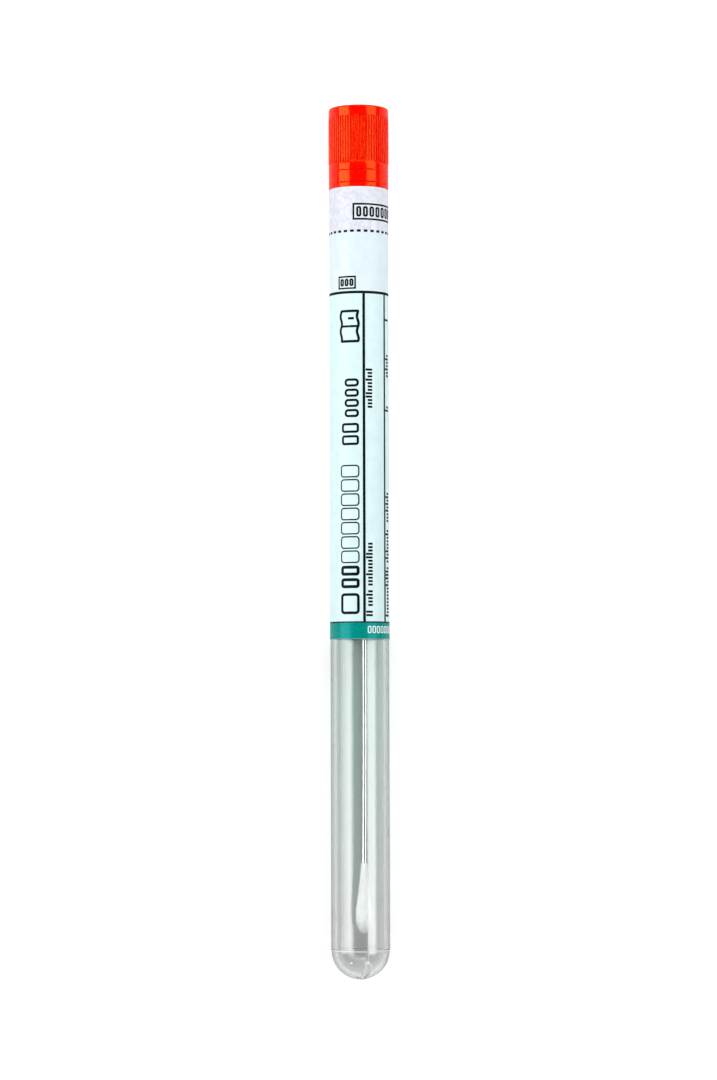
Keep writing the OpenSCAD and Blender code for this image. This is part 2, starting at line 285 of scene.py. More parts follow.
def blend_group():
    """Two tints mixed by a mask, and a roughness that follows it."""
    inputs = [("Mask", FLOAT, 0.5), ("Tint", COLOR, (1, 1, 1, 1)), ("Other Tint", COLOR, (1, 1, 1, 1)),
              ("Roughness", FLOAT, 0.4), ("Other Roughness", FLOAT, 0.5)]
    tree, n, ins, out = shader_group("Two tints", inputs, [("Color", COLOR), ("Roughness", FLOAT)])
    color = n.mix(ins["Mask"], ins["Tint"], ins["Other Tint"])
    rough = n.spread(ins["Mask"], 0.0, 1.0, ins["Roughness"], ins["Other Roughness"])
    tree.links.new(color, out.inputs["Color"])
    tree.links.new(rough, out.inputs["Roughness"])
    return tree


GRAIN, FLECKS, TWO_TINTS = grain_group(), fleck_group(), blend_group()


class Finish(Nodes):
    """A material with a Principled shader and short calls for the shared groups."""

    def __init__(self, name, **plain):
        self.material = bpy.data.materials.new(name)
        self.material.use_nodes = True
        super().__init__(self.material.node_tree)
        self.shader = next(x for x in self.tree.nodes if x.type == "BSDF_PRINCIPLED")
        for key, value in plain.items():
            self.shader.inputs[key.replace("_", " ")].default_value = value

    def group(self, tree, **values):
        named = {key.replace("_", " "): value for key, value in values.items()}
        return self.add("ShaderNodeGroup", named, node_tree=tree).outputs

    def feed(self, name, value):
        self.tree.links.new(value, self.shader.inputs[name])

    def bump(self, height, depth_mm, strength):
        values = {"Height": height, "Strength": strength, "Distance": depth_mm * MM}
        self.feed("Normal", self.one("ShaderNodeBump", values))

    def blend(self, mask, tint, other, rough, other_rough):
        values = dict(Mask=mask, Tint=tint, Other_Tint=other, Roughness=rough, Other_Roughness=other_rough)
        return self.group(TWO_TINTS, **values)

    def tints(self, *values):
        """Feeds the colour and the roughness from a blend."""
        out = self.blend(*values)
        self.feed("Base Color", out["Color"])
        self.feed("Roughness", out["Roughness"])

    def surface(self, shader):
        """Puts another shader in the place of the plain one."""
        out = next(x for x in self.tree.nodes if x.type == "OUTPUT_MATERIAL")
        self.tree.links.new(shader, out.inputs["Surface"])

    def height_along(self):
        """How far a point lies up the axis from the round end, in millimetres."""
        return self.math("MULTIPLY", self.math("SUBTRACT", self.own_place()["Y"], END_Y), 1 / MM)


def tint(r, g, b):
    return (r, g, b, 1.0)


# ---- finishes ----


def clear_plastic():
    """Clear moulded plastic with a slight haze and flow lines along the tube. Its tint turns greener towards
    the label as a painted reflection of the label's colour inside the tube, and the shadow it casts through
    both walls is a painted shadow.
    """
    f = Finish("clear moulding", Transmission_Weight=1.0, IOR=1.45)
    flow = f.group(GRAIN, Size_mm=1.2, Stretch=80.0, Detail=1.0)
    haze = f.group(GRAIN, Size_mm=3.0, Stretch=20.0, Detail=1.0, Offset=0.3)
    # share of painted reflection: rises from the round end to the label, standing in for the label's colour
    # reflected inside the tube
    painted_reflection_share = f.spread(f.height_along(), 8.0, LABEL_FROM, 0.0, 1.0)
    f.feed("Base Color", f.mix(painted_reflection_share, tint(0.965, 0.975, 0.97), tint(0.90, 0.97, 0.95)))
    f.feed("Roughness", f.spread(haze["Mask"], 0.0, 1.0, 0.055, 0.075))
    f.bump(flow["Height"], 0.02, 0.3)
    # Lamps shine into the tube almost freely, and less and less through both of its walls: what crosses both
    # walls takes a painted shadow colour, which darkens the floor under the tube and turns it green towards
    # the label.
    path = f.add("ShaderNodeLightPath").outputs
    deep = f.math("GREATER_THAN", path["Transparent Depth"], 1.5)
    # painted shadow: a dark shadow colour, greener towards the label, for light that has crossed both walls
    painted_shadow_tint = f.mix(painted_reflection_share, tint(0.36, 0.38, 0.37), tint(0.09, 0.37, 0.31))
    passed = f.mix(deep, tint(0.99, 0.995, 0.99), painted_shadow_tint)
    through = f.one("ShaderNodeBsdfTransparent", {"Color": passed})
    seen = f.shader.outputs[0]
    for ray in ("Is Diffuse Ray", "Is Shadow Ray"):
        seen = f.one("ShaderNodeMixShader", {0: path[ray], 1: seen, 2: through})
    f.surface(seen)
    return f.material


def grained(name, size, stretch, detail, depth, blend, **plain):
    """Two tints and two roughnesses over a grain, which also raises the surface a little."""
    f = Finish(name, **plain)
    grain = f.group(GRAIN, Size_mm=size, Stretch=stretch, Detail=detail)
    f.tints(grain["Mask"], *blend)
    f.bump(grain["Height"], depth, 0.5)
    return f.material


def whitened_highlight_plastic():
    """Thin flash of the tube's plastic, stretched white, and made whiter still as a painted highlight for the
    bright lines that the parting line and the gate show by refraction.
    """
    blend = (tint(0.86, 0.89, 0.88), tint(0.95, 0.97, 0.96), 0.2, 0.35)
    return grained("whitened moulding", 0.3, 2.0, 3.0, 0.01, blend, IOR=1.45)


def cap_plastic():
    """Glossy red moulded plastic with fine speckle; over the ribs the flecks are more orange, a painted
    highlight for the small glints on the ribs' sides.
    """
    f = Finish("red moulding", IOR=1.38, Specular_Tint=tint(1.0, 0.9, 0.12))
    speckle = f.group(FLECKS, Size_mm=0.26, Share=0.4)
    skin = f.group(GRAIN, Size_mm=0.35, Detail=3.0)
    height = f.height_along()
    over_foot = f.math("GREATER_THAN", height, RIB_LOW)
    under_collar = f.math("LESS_THAN", height, RIB_HIGH)
    painted_rib_glint = f.math("MULTIPLY", over_foot, under_collar)
    # painted highlight: orange flecks over the ribs stand in for glints on their sides
    fleck_and_rib_glint = f.mix(painted_rib_glint, tint(1.0, 0.02, 0.001), tint(1.0, 0.10, 0.003))
    f.tints(speckle["Mask"], tint(0.90, 0.001, 0.0), fleck_and_rib_glint, 0.13, 0.22)
    f.bump(skin["Height"], 0.010, 0.5)
    return f.material


def drawn_metal():
    """Bright aluminium wire with lines drawn along it."""
    blend = (tint(0.67, 0.63, 0.62), tint(0.57, 0.53, 0.52), 0.10, 0.18)
    return grained("drawn wire", 0.12, 40.0, 3.0, 0.01, blend, Metallic=1.0)


def wound_fibre():
    """Soft white fibre."""
    blend = (tint(0.955, 0.97, 0.965), tint(0.985, 0.995, 0.99), 0.8, 0.95)
    return grained("wound fibre", 0.12, 3.0, 5.0, 0.012, blend, Sheen_Weight=0.15, Sheen_Roughness=0.4,
                   Subsurface_Weight=0.2, Subsurface_Radius=(0.8 * MM,) * 3)


def label_film():
    """Pale coated label stock, printed with a pale blue-green ground below the head line."""
    f = Finish("label stock", IOR=1.45)
    mottle = f.group(GRAIN, Size_mm=1.6, Stretch=1.5, Detail=5.0)
    fine = f.group(GRAIN, Size_mm=0.22, Detail=4.0)
    flecks = f.group(FLECKS, Size_mm=0.5, Share=0.12, Stretch=1.6)
    ground = f.math("LESS_THAN", f.height_along(), HEAD)
    plain = f.mix(mottle["Mask"], tint(0.735, 0.845, 0.885), tint(0.685, 0.81, 0.85))
    printed = f.mix(mottle["Mask"], tint(0.69, 0.88, 0.895), tint(0.66, 0.845, 0.86))
    base = f.mix(ground, plain, printed)
    spots = f.math("MULTIPLY", flecks["Mask"], 0.16)
    f.feed("Base Color", f.mix(spots, base, tint(0.55, 0.60, 0.68)))
    f.feed("Roughness", f.spread(fine["Height"], 0.3, 0.7, 0.36, 0.5))
    f.bump(fine["Height"], 0.015, 0.5)
    return f.material


def seal_film():
    """The same stock over the joint, with a lavender-grey mottled ground."""
    f = Finish("seal stock", IOR=1.45)
    mottle = f.group(GRAIN, Size_mm=0.9, Detail=6.0)
    fine = f.group(GRAIN, Size_mm=0.22, Detail=4.0)
    flecks = f.group(FLECKS, Size_mm=0.42, Share=0.3)
    ground = f.blend(mottle["Mask"], tint(0.76, 0.785, 0.85), tint(0.66, 0.675, 0.76), 0.38, 0.5)
    spots = f.math("MULTIPLY", flecks["Mask"], 0.45)
    f.feed("Base Color", f.mix(spots, ground["Color"], tint(0.52, 0.50, 0.60)))
    f.feed("Roughness", ground["Roughness"])
    f.bump(fine["Height"], 0.015, 0.5)
    return f.material


def ink(name, plain, worn, rough=0.45, shine=0.25, glint=(1, 1, 1)):
    """Printing ink with faint uneven cover."""
    f = Finish(name, IOR=1.45, Specular_IOR_Level=shine, Specular_Tint=tint(*glint))
    cover = f.group(GRAIN, Size_mm=0.3, Detail=5.0)
    f.tints(cover["Mask"], plain, worn, rough, rough + 0.12)
    return f.material


CLEAR, WHITENED_HIGHLIGHT, CAP = clear_plastic(), whitened_highlight_plastic(), cap_plastic()
METAL, FIBRE = drawn_metal(), wound_fibre()
LABEL, SEAL = label_film(), seal_film()
TEAL = ink("teal ink", tint(0.0, 0.245, 0.20), tint(0.0, 0.275, 0.235), 0.22, 0.5, glint=(0.12, 0.85, 1.0))
DARK = ink("dark ink", tint(0.001, 0.004, 0.005), tint(0.005, 0.011, 0.013), shine=0.08)
WHITE = ink("white ink", tint(0.88, 0.95, 0.95), tint(0.83, 0.92, 0.92))


# ---- Geometry Nodes ----


class Tree(Nodes):
    """A Geometry Nodes tree with named inputs, the last of them the material of what it makes."""

    def __init__(self, name, inputs):
        super().__init__(bpy.data.node_groups.new(name, "GeometryNodeTree"))
        face = self.tree.interface
        face.new_socket("Geometry", in_out="INPUT", socket_type="NodeSocketGeometry")
        face.new_socket("Geometry", in_out="OUTPUT", socket_type="NodeSocketGeometry")
        self.ids = {}
        for label, kind, default in inputs:
            socket = face.new_socket(label, in_out="INPUT", socket_type=kind)
            socket.default_value = default
            self.ids[label] = socket.identifier
        self.ids["Material"] = face.new_socket("Material", in_out="INPUT", socket_type=MATERIAL).identifier
        self.ins = self.add("NodeGroupInput").outputs

    def random(self, low, high, seed=None):
        """A number for each point, drawn from the tree's seed or from another."""
        values = {2: low, 3: high, "Seed": self.ins["Seed"] if seed is None else seed}
        return self.add("FunctionNodeRandomValue", values, data_type="FLOAT").outputs[1]

    def end(self, geometry):
        solid = self.one("GeometryNodeRealizeInstances", {0: geometry})
        painted = self.one("GeometryNodeSetMaterial", {0: solid, "Material": self.ins["Material"]})
        out = self.add("NodeGroupOutput")
        self.tree.links.new(painted, out.inputs[0])


INT, MATERIAL = "NodeSocketInt", "NodeSocketMaterial"


def grown(name, source, tree, **values):
    """The plain mesh that a tree makes out of a source piece."""
    modifier = source.modifiers.new("nodes", "NODES")
    modifier.node_group = tree.tree
    for label, value in values.items():
        modifier[tree.ids[label.replace("_", " ")]] = value
    bpy.context.view_layer.update()
    graph = bpy.context.evaluated_depsgraph_get()
    mesh = bpy.data.meshes.new_from_object(source.evaluated_get(graph))
    source.modifiers.remove(modifier)
    mesh.materials.clear()
    mesh.materials.append(values["Material"])
    mesh.polygons.foreach_set("material_index", [0] * len(mesh.polygons))
    old = source.data
    source.data = mesh
    bpy.data.meshes.remove(old)
    source.name = mesh.name = name
    return source


def around_tree():
    """Repeats a piece around the tube's axis, and leaves out a stretch where the label laps."""
    inputs = [("Count", INT, 8), ("Axis Height", FLOAT, 0.0), ("Skip From", FLOAT, 400.0),
              ("Skip To", FLOAT, 400.0)]
    t = Tree("Around the axis", inputs)
    spots = t.one("GeometryNodeMeshLine", {"Count": t.ins["Count"], "Offset": (0, 0, 0)})
    raised = t.xyz(0, 0, t.ins["Axis Height"])
    spots = t.one("GeometryNodeSetPosition", {0: spots, "Position": raised})
    index = t.one("GeometryNodeInputIndex")
    turn = t.math("MULTIPLY", t.math("DIVIDE", index, t.ins["Count"]), 360.0)
    # Each point keeps its turn, because the numbers change when points are left out.
    values = {0: spots, "Name": "turn", "Value": turn}
    spots = t.one("GeometryNodeStoreNamedAttribute", values, data_type="FLOAT")
    kept = t.one("GeometryNodeInputNamedAttribute", {"Name": "turn"}, data_type="FLOAT")
    past = t.math("GREATER_THAN", kept, t.ins["Skip From"])
    short = t.math("LESS_THAN", kept, t.ins["Skip To"])
    skipped = t.math("MULTIPLY", past, short)
    spots = t.one("GeometryNodeDeleteGeometry", {0: spots, 1: skipped}, domain="POINT")
    euler = t.xyz(0, t.math("MULTIPLY", kept, pi / 180), 0)
    rotation = t.one("FunctionNodeEulerToRotation", {0: euler})
    values = {"Points": spots, "Instance": t.ins["Geometry"], "Rotation": rotation}
    t.end(t.one("GeometryNodeInstanceOnPoints", values))
    return t


AROUND_AXIS = around_tree()


def centred(piece):
    """Moves a piece so that the tube's axis passes through its origin, for the tree that repeats it."""
    piece.data.transform(Matrix.Translation((0, 0, -AXIS_Z)))
    return piece


# ---- tube ----


def clear_tube():
    """The tube, with its gate nub in a dimple at the foot and a raised parting line."""
    dimple_r, dimple_depth, nub_r, nub_round = 1.0, 0.2, 0.4, 0.08
    start = degrees(asin(dimple_r / DOME_R)) - 90
    end = -degrees(asin((DOME_R - PARTING) / DOME_R))
    flash = [(-0.02, 0.02), (0.01, 0.05), (0.035, 0.1), (0.035, 0.16), (0.01, 0.21), (0.0, 0.26), (0.0, 0.6)]
    straight = (20, 40, 67, 90, 120, 147)
    lip = TUBE_LEN - MOUTH_ROUND
    profile = [(0, 0.0), (nub_r - nub_round, 0.0), (nub_r, nub_round), (nub_r, dimple_depth - 0.02)]
    profile += [(0.55, 0.19), (0.75, 0.13), (0.92, 0.06)] + arc(0, DOME_R, DOME_R, start, end, 60)
    profile += [(TUBE_R + out, PARTING + up) for out, up in flash] + [(TUBE_R, h) for h in straight]
    profile += arc(TUBE_R - MOUTH_ROUND, lip, MOUTH_ROUND, 0, 90, 5)
    profile += arc(BORE_R + MOUTH_ROUND, lip, MOUTH_ROUND, 90, 180, 5)
    profile += [(BORE_R, h) for h in straight[::-1]]
    profile += arc(0, WALL + BORE_R, BORE_R, 0, -90, 40)[:-1] + [(0, WALL)]
    return turned("clear_tube", profile, CLEAR)


def on_end(across, height, lift):
    """A point over the front of the round end: across it, up it, and off its surface."""
    up = DOME_R - height
    out = sqrt(max(0.0, DOME_R ** 2 - across ** 2 - up ** 2))
    share = (DOME_R + lift) / DOME_R
    return Vector((across * share * MM, END_Y + (DOME_R - up * share) * MM, AXIS_Z + out * share * MM))


def swept(name, path, radii, sides, material):
    """A closed rod along a path, with a radius at each of its points."""
    verts = []
    turns = [2 * pi * k / sides for k in range(sides)]
    for i, (at, radius) in enumerate(zip(path, radii)):
        ahead = (path[min(i + 1, len(path) - 1)] - path[max(i - 1, 0)]).normalized()
        side = Vector((0, 0, 1)).cross(ahead).normalized()
        up = ahead.cross(side)
        verts += [at + (side * cos(a) + up * sin(a)) * radius for a in turns]
    return make(name, verts, rod_faces(len(path), sides), material, 40)


def flash_string(spots, radius):
    """A string of flash over the round end, through spots across and up it, thinner at both ends."""
    path = smooth_line([on_end(across, height, 0.08) for across, height in spots], 5)
    ends = len(path) - 1
    radii = [radius * MM * min(1.0, 0.45 + 0.16 * min(i, ends - i)) for i in range(len(path))]
    return swept("flash_string", path, radii, 14, WHITENED_HIGHLIGHT)


def moulding_flash():
    """Whitened flash, partly a painted highlight: a doubled string from the gate, its hook and tail, a mark
    and the parting line.
    """
    doubled = [(0.3, 0.12), (0.5, 0.75), (0.9, 1.7), (1.15, 2.6), (1.1, 3.25), (1.45, 3.6), (1.9, 3.2),
               (2.0, 2.6), (1.7, 1.8), (1.2, 1.0), (0.75, 0.35)]
    hook = [(0.75, 3.5), (1.1, 3.75), (1.5, 3.8), (1.8, 3.6)]
    tail = [(1.55, 3.6), (1.55, 4.2), (1.55, 4.8), (1.55, 5.4)]
    mark = [(-1.75, 3.45), (-1.75, 3.55), (-1.74, 3.65), (-1.74, 3.75)]
    strings = [(doubled, 0.19), (hook, 0.13), (tail, 0.05), (mark, 0.2)]
    line = [(0.0, 0.0), (0.03, 0.03), (0.03, 0.1), (0.0, 0.13), (-0.04, 0.1), (-0.04, 0.03)]
    parting = turned("parting_line", [(TUBE_R + out, PARTING + 0.05 + up) for out, up in line], WHITENED_HIGHLIGHT)
    return joined("moulding_flash", [flash_string(*string) for string in strings] + [parting])


# ---- cap ----

PLUG_END, PLUG_R = 141.0, 4.55


def groove(height):
    """A fine line cut around the cuff."""
    half, depth = 0.13, 0.1
    return [(CUFF_R, height - half), (CUFF_R - depth, height), (CUFF_R, height + half)]


def plug_profile():
    """The plug: its socket and boss, the hollow around them, and two sealing rings on its outside."""
    socket_r, socket_top, boss_r, core_r, ring_r = 0.52, 159.3, 1.5, 3.65, 4.76
    roof, fillet, lip, foot = 173.1, 0.3, 0.15, 0.5
    profile = [(0, socket_top), (socket_r, socket_top), (socket_r, PLUG_END)]
    profile += [(boss_r - fillet, PLUG_END), (boss_r, PLUG_END + fillet), (boss_r, roof)]
    profile += arc(boss_r + fillet, roof, fillet, 180, 90, 4) + arc(core_r - fillet, roof, fillet, 90, 0, 4)
    profile += [(core_r, PLUG_END + lip)] + arc(core_r + lip, PLUG_END + lip, lip, 180, 270, 3)
    profile += arc(PLUG_R - foot, PLUG_END + foot, foot, 270, 360, 5)
    turns = [radians(a) for a in range(-75, 76, 25)]
    for ring in (145.0, 148.0):
        bulge = [(PLUG_R + (ring_r - PLUG_R) * cos(a), ring + 0.42 * sin(a)) for a in turns]
        profile += [(PLUG_R, ring - 0.46)] + bulge + [(PLUG_R, ring + 0.46)]
    return profile


def cuff_profile():
    """The skirt under the label's seal, the cuff with its two fine lines, and the fall to the ribs' foot."""
    skirt, edge, fall, steps = TUBE_LEN + 0.05, 0.2, 1.1, 8
    profile = [(PLUG_R, skirt), (TUBE_R - edge, skirt)] + arc(TUBE_R - edge, skirt + edge, edge, 270, 360, 4)
    profile += [(TUBE_R, GRIP_FROM), (CUFF_R - 0.03, GRIP_FROM), (CUFF_R, GRIP_FROM + 0.03)]
    profile += groove(GRIP_FROM + 0.9) + groove(GRIP_FROM + 3.4)
    for k in range(steps + 1):
        share = (1 - cos(pi * k / steps)) / 2
        profile.append((CUFF_R - (CUFF_R - ROOT_R) * share, RIB_LOW + fall * k / steps))
    return profile


def top_profile():
    """The collar over the ribs, the rounded rim and the dished top."""
    rim, dish = 0.35, 0.5
    profile = [(ROOT_R, RIB_HIGH - 0.04), (ROOT_R + 0.04, RIB_HIGH)]
    profile += [(GRIP_R - 0.05, RIB_HIGH), (GRIP_R, RIB_HIGH + 0.05)]
    profile += arc(GRIP_R - rim, CAP_TOP - rim, rim, 0, 90, 8)
    profile += [(5.05, CAP_TOP), (4.98, CAP_TOP - 0.03), (4.55, CAP_TOP - 0.46)]
    return profile + [(r, CAP_TOP - dish) for r in (4.4, 2.0, 0.5, 0)]


def one_rib():
    """One rib at the front, rounded over its crest and run out at its lower end."""
    pitch, foot = 360 / RIBS, ROOT_R - 0.06
    # half of the section: shares of the pitch to the side and of the rib's height
    half = [(0.0, 1.0), (0.14, 0.995), (0.21, 0.965), (0.3, 0.86), (0.37, 0.6), (0.41, 0.3), (0.43, 0.0)]
    across = [(-side, up) for side, up in half[:0:-1]] + half
    # height, and shares of the rib's full rise and width there
    rows = [(RIB_LOW + 0.05, 0.1, 0.25), (RIB_LOW + 0.2, 0.5, 0.6), (RIB_LOW + 0.45, 0.78, 0.86),
            (RIB_LOW + 0.9, 1.0, 1.0), (RIB_HIGH - 0.12, 1.0, 1.0), (RIB_HIGH + 0.02, 1.0, 1.0)]
    verts = []
    for height, share, narrow in rows:
        crest = ROOT_R + (GRIP_R - 0.005 - ROOT_R) * share
        verts += [place(foot + (crest - foot) * up, side * pitch * narrow, height) for side, up in across]
    return make("rib", verts, rod_faces(len(rows), len(across)), crease=40)


def ribbed_cap():
    body = turned("cap_body", plug_profile() + cuff_profile() + top_profile(), CAP)
    ribs = grown("ribs", centred(one_rib()), AROUND_AXIS, Count=RIBS, Axis_Height=AXIS_Z, Material=CAP)
    return joined("ribbed_cap", [body, ribs])


# ---- swab ----


def shaft_line():
    """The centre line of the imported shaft, as ring centres from the cap down."""
    points = {tuple(round(c, 7) for c in v.co) for v in frame["nodes"]["shaft"].data.vertices}
    ordered = sorted(points, key=lambda p: -p[1])
    rings = [ordered[i:i + SHAFT_SIDES] for i in range(0, len(ordered), SHAFT_SIDES)]
    return [Vector(sum(p[k] for p in ring) / len(ring) for k in range(3)) for ring in rings]


def smooth_line(points, steps):
    """A finer line through the points."""
    fine = []
    for i in range(len(points) - 1):
        p0, p1, p2 = points[max(i - 1, 0)], points[i], points[i + 1]
        p3 = points[min(i + 2, len(points) - 1)]
        for k in range(steps):
            t = k / steps
            fine.append(0.5 * (2 * p1 + (p2 - p0) * t + (2 * p0 - 5 * p1 + 4 * p2 - p3) * t * t
                               + (3 * p1 - p0 - 3 * p2 + p3) * t ** 3))
    return fine + [points[-1]]


def wire_shaft(line):
    radius, end_radius, end = 0.5 * MM, 0.4 * MM, Vector((0, 0.1 * MM, 0))
    path = smooth_line(line, 4)
    path = [path[0], path[0] - end] + path[1:-1] + [path[-1] + end, path[-1]]
    radii = [end_radius] + [radius] * (len(path) - 2) + [end_radius]
    return swept("wire_shaft", path, radii, 32, METAL)


BUD_LEN, BUD_R, NECK_R, BELLY = 13.8, 1.65, 0.7, 0.24


def bud_radius(t):
    """The bud's radius at a share t of its length from the tip."""
    if t < BELLY:
        return BUD_R * sqrt(max(0.0, 1 - (1 - t / BELLY) ** 2))
    return NECK_R + (BUD_R - NECK_R) * (1 + cos(pi * ((t - BELLY) / (1 - BELLY)) ** 0.9)) / 2


def bud_frame(line):
    """The bud's tip, the way from the tip up the shaft, and two directions across it."""
    up = (line[-2] - line[-1]).normalized()
    tip = line[-1] - up * 2.0 * MM
    side = Vector((0, 0, 1)).cross(up).normalized()
    return tip, up, side, up.cross(side)


def bud_core(line):
    """The bud's body, with low random lumps."""
    tip, up, side, out = bud_frame(line)
    rows, sides = 90, 96
    rng = random.Random(5)
    waves = [(rng.randint(2, 9), rng.uniform(4, 26), rng.uniform(0, 6.28), rng.uniform(0.006, 0.014))
             for _ in range(14)]
    verts = [tip + up * 0.02 * MM]
    for j in range(1, rows):
        t = (j / (rows - 1)) ** 1.4
        for k in range(sides):
            a = 2 * pi * k / sides
            lumps = sum(w * sin(n * a + m * t * 3 + p) for n, m, p, w in waves)
            r = max(0.05, bud_radius(t) - 0.07 + lumps * min(1, 6 * t)) * MM
            verts.append(tip + up * t * BUD_LEN * MM + (side * cos(a) + out * sin(a)) * r)
    verts.append(tip + up * BUD_LEN * MM)
    return make("fibre_bud", verts, ball_faces(rows, sides), FIBRE, 180)


def ball_faces(rows, sides):
    """The faces between two end points and the rows of points between them."""
    def at(j, k):
        return 1 + (j - 1) * sides + k % sides

    faces, top = [], 1 + (rows - 1) * sides
    for k in range(sides):
        faces.append((0, at(1, k + 1), at(1, k)))
        for j in range(1, rows - 1):
            faces.append((at(j, k), at(j, k + 1), at(j + 1, k + 1), at(j + 1, k)))
    return faces + [(at(rows - 1, k), at(rows - 1, k + 1), top) for k in range(sides)]


def fibre_tree():
    """Fine fibres laid over a core: a short bent strand on scattered points, along the surface."""
    inputs = [("Count", INT, 600), ("Seed", INT, 1), ("Length", FLOAT, 0.002),
              ("Thickness", FLOAT, 0.00004), ("Lift", FLOAT, 0.00003), ("Along", VECTOR, (0, 1, 0))]
    t = Tree("Laid fibres", inputs)
    values = {0: t.ins["Geometry"], "Seed": t.ins["Seed"], "Density": 1e7}
    spread = t.add("GeometryNodeDistributePointsOnFaces", values, distribute_method="RANDOM")
    over = t.math("GREATER_THAN", t.one("GeometryNodeInputIndex"), t.ins["Count"])
    values = {0: spread.outputs["Points"], 1: over}
    points = t.one("GeometryNodeDeleteGeometry", values, domain="POINT")
    normal, along = spread.outputs["Normal"], t.ins["Along"]
    around_it = t.one("ShaderNodeVectorMath", {0: along, 1: normal}, operation="CROSS_PRODUCT")
    lean = t.one("ShaderNodeVectorMath", {0: along, "Scale": t.random(0.5, 1.5)}, operation="SCALE")
    run = t.one("ShaderNodeVectorMath", {0: around_it, 1: lean}, operation="ADD")
    facing = t.one("FunctionNodeAlignRotationToVector", {"Vector": normal}, axis="Z")
    values = {"Rotation": facing, "Vector": run}
    facing = t.one("FunctionNodeAlignRotationToVector", values, axis="X", pivot_axis="Z")
    half = t.math("MULTIPLY", t.ins["Length"], 0.5)
    low = t.math("MULTIPLY", t.ins["Lift"], -6.0)
    start = t.xyz(t.math("MULTIPLY", half, -1.0), 0, low)
    end = t.xyz(half, 0, low)
    middle = t.xyz(0, 0, t.math("MULTIPLY", t.ins["Lift"], 6.0))
    values = {"Resolution": 4, "Start": start, "Middle": middle, "End": end}
    strand = t.one("GeometryNodeCurveQuadraticBezier", values)
    values = {"Resolution": 3, "Radius": t.ins["Thickness"]}
    ring = t.one("GeometryNodeCurvePrimitiveCircle", values)
    body = t.one("GeometryNodeCurveToMesh", {0: strand, 1: ring, "Fill Caps": True})
    values = {"Points": points, "Instance": body, "Rotation": facing, "Scale": t.random(0.6, 1.2)}
    laid = t.one("GeometryNodeInstanceOnPoints", values)
    solid = t.one("GeometryNodeRealizeInstances", {0: laid})
    core = t.add("GeometryNodeJoinGeometry")
    t.tree.links.new(solid, core.inputs[0])
    t.tree.links.new(t.ins["Geometry"], core.inputs[0])
    t.end(core.outputs[0])
    return t


def fibre_bud(line):
    up = bud_frame(line)[1]
    values = dict(Count=900, Seed=4, Length=0.0018, Thickness=0.000016, Lift=0.000008, Along=tuple(up))
    return grown("fibre_bud", bud_core(line), fibre_tree(), **values, Material=FIBRE)


# ---- label ----


def tabs(turn):
    """Whether an angle lies on a tab between two cuts of the tear line."""
    pitch = 360 / DASHES
    off = abs((turn + pitch / 2) % pitch - pitch / 2)
    return off > degrees_for(DASH) / 2


def film_turns():
    """The angles of the points across the film: once around, and on over its lap."""
    step = 360 / (DASHES * 16)
    first, last = int(LAP_FROM / step) + 1, int(LAP_FROM / step) + DASHES * 16
    turns = [step * i for i in range(first, last)]
    once = [LAP_FROM + 0.01] + [a for a in turns if a < LAP_FROM + 359.98] + [LAP_FROM + 359.99]
    lap = LAP_TO - LAP_FROM
    return once + [LAP_FROM + 360 + lap * k / 24 for k in range(1, 25)]


def film_faces(rows, n):
    """The faces of a film made of rows of n points outside and n inside, closed at its edges and ends."""
    faces = []
    for i in range(rows - 1):
        p, q = i * 2 * n, (i + 1) * 2 * n
        for k in range(n - 1):
            faces.append((p + k, q + k, q + k + 1, p + k + 1))
            faces.append((p + n + k, p + n + k + 1, q + n + k + 1, q + n + k))
        faces.append((p, p + n, q + n, q))
        faces.append((p + n - 1, q + n - 1, q + 2 * n - 1, p + 2 * n - 1))
    last = (rows - 1) * 2 * n
    for k in range(n - 1):
        faces.append((k, k + 1, n + k + 1, n + k))
        faces.append((last + k, last + n + k, last + n + k + 1, last + k + 1))
    return faces


def sleeve(name, low, high, material, tear_low=False, tear_high=False):
    """A sleeve of label film with lapped ends. Torn edges keep short tabs between the cuts."""
    tab, play, steps = TEAR_GAP - 0.004, 0.001, 24
    between = [low + (high - low) * k / steps for k in range(1, steps)]
    turns, verts = film_turns(), []
    for a in turns:
        share = climbed(a)
        inner = TUBE_R + play + LABEL_T * share * share * (3 - 2 * share)
        outer = inner + LABEL_T - 2 * play
        bottom = low - tab * (tear_low and tabs(a % 360))
        top = high + tab * (tear_high and tabs(a % 360))
        verts += [place(radius, a, h) for radius in (outer, inner) for h in [bottom] + between + [top]]
    return make(name, verts, film_faces(len(turns), steps + 1), material, 30)


# ---- print ----

INK = 0.012  # thickness of the print
LIFT = 0.006  # of the print off the film


def outline_faces(n):
    """The faces of a closed outline with n points on each edge: the lower two edges, then the upper two."""
    faces = []
    for i in range(n):
        k = (i + 1) % n
        faces.append((2 * n + i, 2 * n + k, 3 * n + k, 3 * n + i))
        faces.append((i, n + i, n + k, k))
        faces.append((i, k, 2 * n + k, 2 * n + i))
        faces.append((n + i, 3 * n + i, 3 * n + k, n + k))
    return faces


